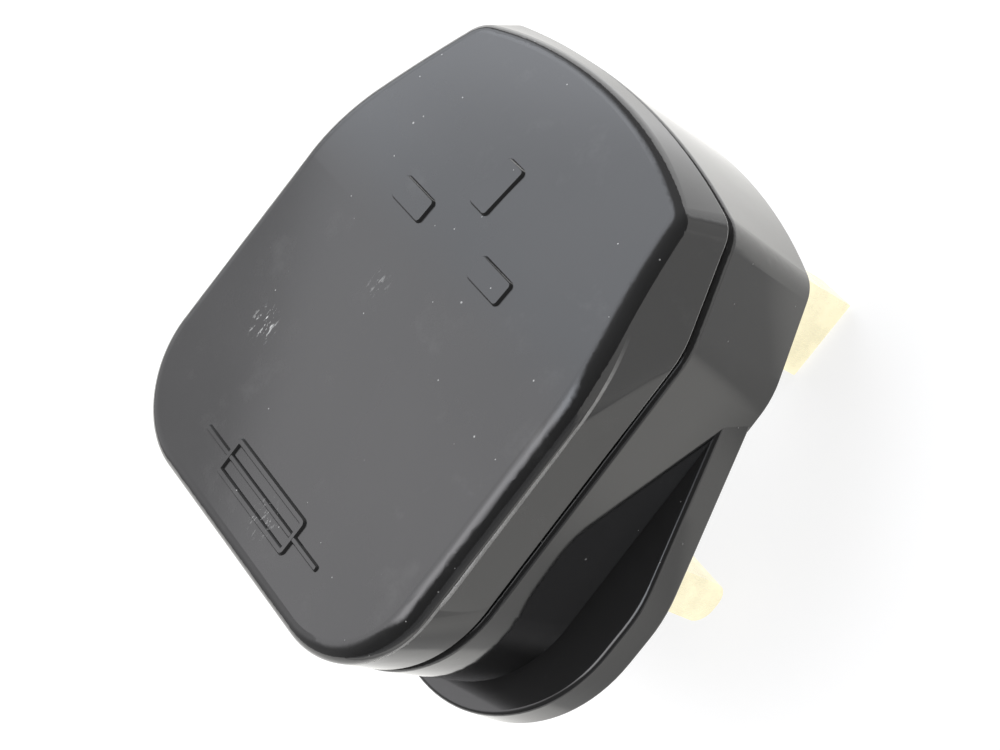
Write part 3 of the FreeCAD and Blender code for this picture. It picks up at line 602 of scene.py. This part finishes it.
def floor_material():
    """Paper painted paler beyond the earth end as a painted pool of light, a glow for the camera, and
    a glow painted into the plug's reflections.
    """
    mat = bpy.data.materials.new("pale_floor")
    mat.use_nodes = True
    t = Nodes(mat.node_tree)
    out = t.new("ShaderNodeOutputMaterial")
    x, y, _ = t.axes(t.new("ShaderNodeTexCoord").outputs["Object"])
    behind = t.product(t.ramp(y, BEHIND_Y), t.ramp(x, BEHIND_X, FADE_OUT))
    paper = t.new("ShaderNodeBsdfDiffuse")
    # painted pool of light: paler paper beyond the earth end
    paper_with_lit_patch = t.mix_color(behind, rgba(PAPER_COLOR), rgba(LIT_PATCH_PAPER_COLOR))
    t.feed(paper_with_lit_patch, paper.inputs["Color"])
    path = t.new("ShaderNodeLightPath")
    seen, glossy = path.outputs["Is Camera Ray"], path.outputs["Is Glossy Ray"]
    glow = t.new("ShaderNodeEmission")
    # painted reflection: the floor glows only in the plug's reflections, dimmer close beside the plug
    # as a painted shadow
    t.feed(t.mix_color(glossy, rgba(SEEN_COLOR), rgba(PAINTED_REFLECTION_COLOR)), glow.inputs["Color"])
    painted_reflection = t.product(glossy, painted_reflection_level(t, x, y, behind))
    t.feed(t.math("ADD", t.product(seen, SEEN_LEVEL), painted_reflection), glow.inputs["Strength"])
    t.feed(t.add_shader(paper.outputs[0], glow.outputs[0]), out.inputs["Surface"])
    return mat


def add_floor():
    mesh = bpy.data.meshes.new("floor")
    bm = bmesh.new()
    bmesh.ops.create_grid(bm, x_segments=1, y_segments=1, size=FLOOR_HALF)
    bm.to_mesh(mesh)
    bm.free()
    floor = bpy.data.objects.new("floor", mesh)
    floor.location = (0, 0, cad_box[0][2] - FLOOR_GAP)
    scene.collection.objects.link(floor)
    floor.data.materials.append(floor_material())


# soft studio surroundings, with tilts in degrees, up from -X and over the top to +X
SIDE_SLANT = 25.0
SIDE_SLANT_FROM_Y = -0.27
SIDE_EDGE_TILT = (43.5, 44.9)
SIDE_EDGE_LEVELS = (0.47, 1.0)
SIDE_LOW_TILT = (2.0, 16.0)
SIDE_HIGH_TILT = (58.0, 86.0)
SIDE_MIDDLE_Y = -0.05
SIDE_WIDTH = (0.50, 0.78)
SIDE_RISE = 0.32
SIDE_LEVEL = 1.06
PATCH_TILT = (41.5, 45.5)
PATCH_LEVELS = (0.5, 0.02)
PATCH_Y = (-0.20, 0.02)
STRIP_CLIMB_TILT = (59.0, 94.0)
STRIP_FALL_TILT = (99.0, 134.0)
STRIP_LEVELS = (2.45, 0.0)
STRIP_MIDDLE_Y = -0.20
STRIP_WIDTH = (0.14, 0.30)
BRIGHT_LEVEL = 1.86
BRIGHT_COLORS = ((0.965, 0.955, 0.985), (0.915, 0.955, 1.03))
BRIGHT_COLORS_Y = (-0.28, -0.04)
DIM_X = (-0.3, 0.35)
DIM_LEVELS = (0.42, 0.16)


def bright_side(t, tilt, y):
    """A broad side that the face mirrors, dimmer below a slanted edge but for a patch towards +Y."""
    lean = t.product(t.math("SUBTRACT", y, SIDE_SLANT_FROM_Y), math.radians(SIDE_SLANT))
    edge = t.ramp(t.math("ADD", tilt, lean), angle_span(SIDE_EDGE_TILT), SIDE_EDGE_LEVELS)
    broad = t.math("ADD", t.product(y, SIDE_RISE), SIDE_LEVEL)
    patch = t.product(t.ramp(tilt, angle_span(PATCH_TILT), PATCH_LEVELS), t.ramp(y, PATCH_Y))
    return t.product(
        t.math("ADD", t.product(edge, broad), patch),
        t.ramp(tilt, angle_span(SIDE_HIGH_TILT), FADE_OUT),
        t.ramp(tilt, angle_span(SIDE_LOW_TILT)),
        t.ramp(t.off_centre(y, SIDE_MIDDLE_Y), SIDE_WIDTH, FADE_OUT),
    )


def bright_strip(t, tilt, y):
    """A strip overhead, for the face's rolled edge."""
    return t.product(
        t.ramp(tilt, angle_span(STRIP_CLIMB_TILT)),
        t.ramp(tilt, angle_span(STRIP_FALL_TILT), STRIP_LEVELS),
        t.ramp(t.off_centre(y, STRIP_MIDDLE_Y), STRIP_WIDTH, FADE_OUT),
    )


def add_world():
    """Surroundings that light the plug, dim on the camera's side, and that the camera sees white."""
    world = bpy.data.worlds.new("studio")
    scene.world = world
    world.use_nodes = True
    t = Nodes(world.node_tree)
    out = t.new("ShaderNodeOutputWorld")
    x, y, z = t.axes(t.new("ShaderNodeTexCoord").outputs["Generated"])
    tilt = t.math("ARCTAN2", z, t.product(x, -1.0))
    seen = t.new("ShaderNodeLightPath").outputs["Is Camera Ray"]
    unseen = t.math("SUBTRACT", 1.0, seen)
    bright = t.new("ShaderNodeBackground")
    first, last = BRIGHT_COLORS
    tint = t.mix_color(t.ramp(y, BRIGHT_COLORS_Y), rgba(first), rgba(last))
    t.feed(tint, bright.inputs["Color"])
    level = t.math("ADD", bright_side(t, tilt, y), bright_strip(t, tilt, y))
    t.feed(t.product(level, BRIGHT_LEVEL, unseen), bright.inputs["Strength"])
    plain = t.new("ShaderNodeBackground")
    dim = t.product(t.ramp(x, DIM_X, DIM_LEVELS), unseen)
    t.feed(t.math("ADD", dim, seen), plain.inputs["Strength"])
    t.feed(t.add_shader(bright.outputs[0], plain.outputs[0]), out.inputs["Surface"])


# lamps: name, place, size in metres and power in watts
LAMPS = (
    ("key", (-0.35, -0.10, 0.80), 0.50, 1.2),
    ("fill", (0.25, 0.75, 0.55), 0.60, 1.6),
)
LAMP_TARGET = (0, 0.005, 0)


def add_lamps():
    for name, at, size, power in LAMPS:
        data = bpy.data.lights.new(name, "AREA")
        data.shape = "DISK"
        data.size = size
        data.energy = power
        lamp = bpy.data.objects.new(name, data)
        lamp.location = at
        lamp.rotation_euler = (Vector(LAMP_TARGET) - Vector(at)).to_track_quat("-Z", "Y").to_euler()
        lamp.visible_glossy = False
        scene.collection.objects.link(lamp)


add_camera()
dress_nodes()
add_fuse_sign()
add_slots_sign()
add_floor()
add_world()
add_lamps()
